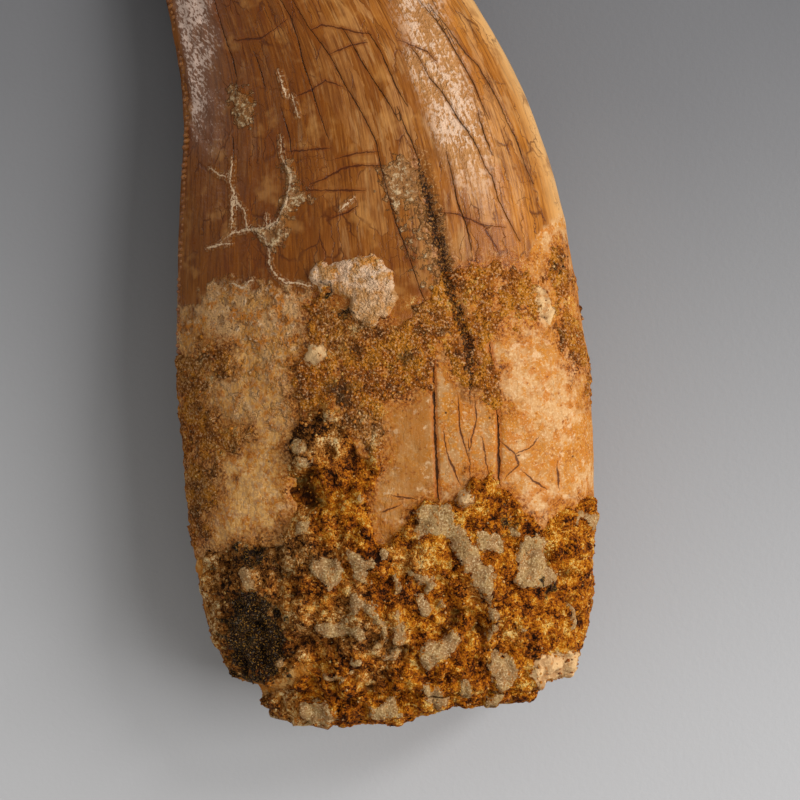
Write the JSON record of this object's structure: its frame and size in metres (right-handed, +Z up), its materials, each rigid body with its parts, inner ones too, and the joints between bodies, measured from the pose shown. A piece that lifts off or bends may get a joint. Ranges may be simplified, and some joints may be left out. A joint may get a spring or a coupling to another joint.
{
  "type": "fossil carcharodontosaurus tooth",
  "caption": "Curved, flattened fossil dinosaur tooth with amber enamel and a sandstone-crusted root end, lying on its inner face.",
  "frame": {"origin": "middle of the tooth's box, on the ground it lies on", "axes": "+Y from the broken root end to the tip, +X towards the convex front edge, +Z up out of the outer face"},
  "size_m": [0.0492, 0.0974, 0.02],
  "materials": {
    "fossil_tooth": "satin"
  },
  "bodies": {
    "root": {"tooth": "fossil_tooth"}
  },
  "joints": []
}
